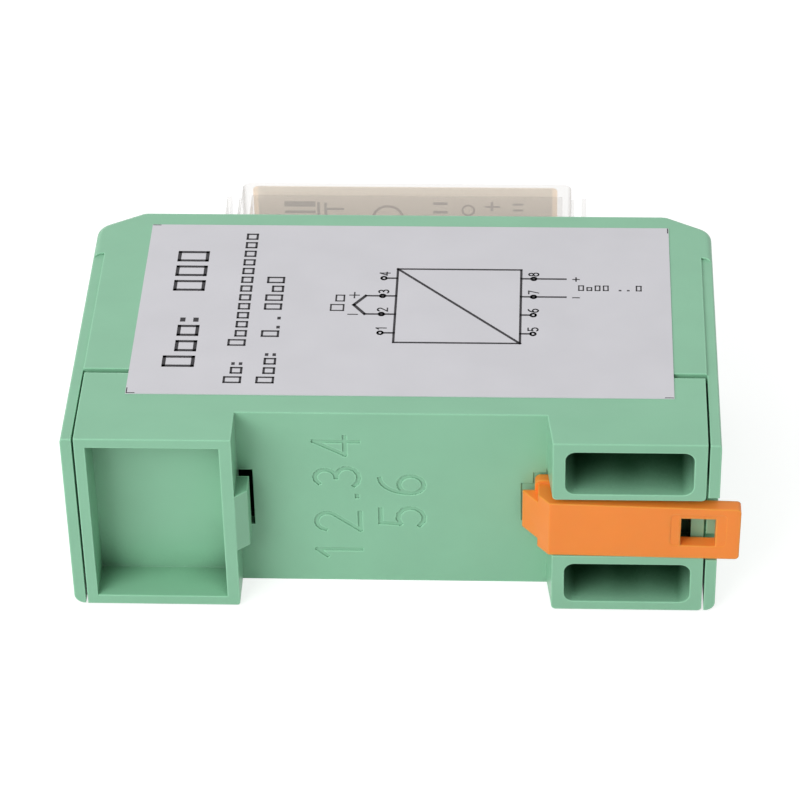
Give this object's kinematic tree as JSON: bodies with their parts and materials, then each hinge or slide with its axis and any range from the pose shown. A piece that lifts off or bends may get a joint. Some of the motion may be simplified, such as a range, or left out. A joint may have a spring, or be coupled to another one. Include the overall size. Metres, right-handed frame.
{
  "type": "temperature transmitter",
  "caption": "Rail-mounted temperature transmitter in a two-part green housing with a sliding orange foot latch, clear snap cover, marking card and screw terminals.",
  "frame": {"origin": "middle of the rail seat, in the middle of the housing's length and width", "axes": "+X along the 75 mm length towards the sliding latch; +Y away from the rail, towards the clear cover; +Z across the 25 mm width, towards the labelled side, up as it lies on a table"},
  "size_m": [0.0775, 0.0534, 0.0251],
  "materials": {
    "housing_plastic": "fine satin, moulded",
    "latch_plastic": "satin, moulded",
    "spring_steel": "drawn wire",
    "clear_plastic": "polished, clear",
    "card_stock": "cream card",
    "label_film": "printed film",
    "board_laminate": "green solder mask",
    "terminal_plastic": "moulded",
    "plated_steel": "zinc plated",
    "plated_brass": "tinned",
    "black_plastic": "moulded",
    "white_plastic": "moulded",
    "blue_plastic": "moulded",
    "capacitor_film": "moulded case",
    "capacitor_can": "sleeved can",
    "resistor_coat": "lacquered",
    "winding_copper": "enamelled copper wire",
    "ferrite": "sintered"
  },
  "bodies": {
    "housing": {"base_housing": "housing_plastic", "hood": "housing_plastic", "latch_spring": "spring_steel", "clear_cover": "clear_plastic", "marking_card": "card_stock", "side_label": "label_film", "upper_board": "board_laminate", "lower_board": "board_laminate", "board_link_pins": "plated_brass", "board_link_strips": "black_plastic", "input_terminal_block": "terminal_plastic", "output_terminal_block": "terminal_plastic", "input_clamp_cages": "plated_steel", "output_clamp_cages": "plated_steel", "input_terminal_screws": "plated_steel", "output_terminal_screws": "plated_steel", "input_contact_bars": "plated_brass", "output_contact_bars": "plated_brass", "zero_trimmer": "blue_plastic", "span_trimmer": "blue_plastic", "cold_junction_sensor": "black_plastic", "input_amplifier": "black_plastic", "filter_capacitors": "capacitor_film", "upper_resistors": "resistor_coat", "transformer_bobbin": "black_plastic", "transformer_winding": "winding_copper", "transformer_core": "ferrite", "optocoupler": "white_plastic", "smoothing_capacitors": "capacitor_can", "output_transistor": "black_plastic", "rectifier_diodes": "black_plastic"},
    "latch": {"foot_latch": "latch_plastic"},
    "zero_adjuster": {"zero_adjuster": "white_plastic"},
    "span_adjuster": {"span_adjuster": "white_plastic"}
  },
  "joints": [
    {"name": "latch_slide", "type": "slide", "parent": "housing", "child": "latch", "axis": [1, 0, 0], "range_m": [0, 0.003], "stiffness_N_per_m": 1500, "springref_m": -0.002, "deforming": ["latch_spring"]},
    {"name": "zero_turn", "type": "hinge", "parent": "housing", "child": "zero_adjuster", "pos_m": [-0.008, 0.03, 0], "axis": [0, 1, 0], "range_deg": [-135, 135]},
    {"name": "span_turn", "type": "hinge", "parent": "housing", "child": "span_adjuster", "pos_m": [0.008, 0.03, 0], "axis": [0, 1, 0], "range_deg": [-135, 135]}
  ]
}
